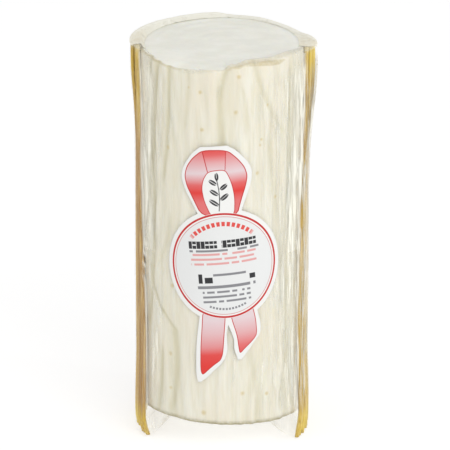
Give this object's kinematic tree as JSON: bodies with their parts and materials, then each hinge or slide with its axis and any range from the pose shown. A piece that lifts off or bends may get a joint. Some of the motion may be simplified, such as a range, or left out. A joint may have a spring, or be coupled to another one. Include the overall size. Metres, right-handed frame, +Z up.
{
  "type": "soft goat cheese log",
  "caption": "Rinded log of soft goat cheese standing on end, cradled in a mat of straws and wrapped in clear film, with a rosette label on the front.",
  "frame": {"origin": "on the table, under the middle of the whole part", "axes": "+Z up along the log, -Y towards the front, where the label is, +X to the right seen from the front"},
  "size_m": [0.0924, 0.0869, 0.2026],
  "materials": {
    "rind": "satin",
    "straw": "satin",
    "film": "gloss",
    "label_paper": "matte"
  },
  "bodies": {
    "root": {"cheese_log": "rind", "straw_mat": "straw", "film_wrap": "film", "label": "label_paper"}
  },
  "joints": []
}
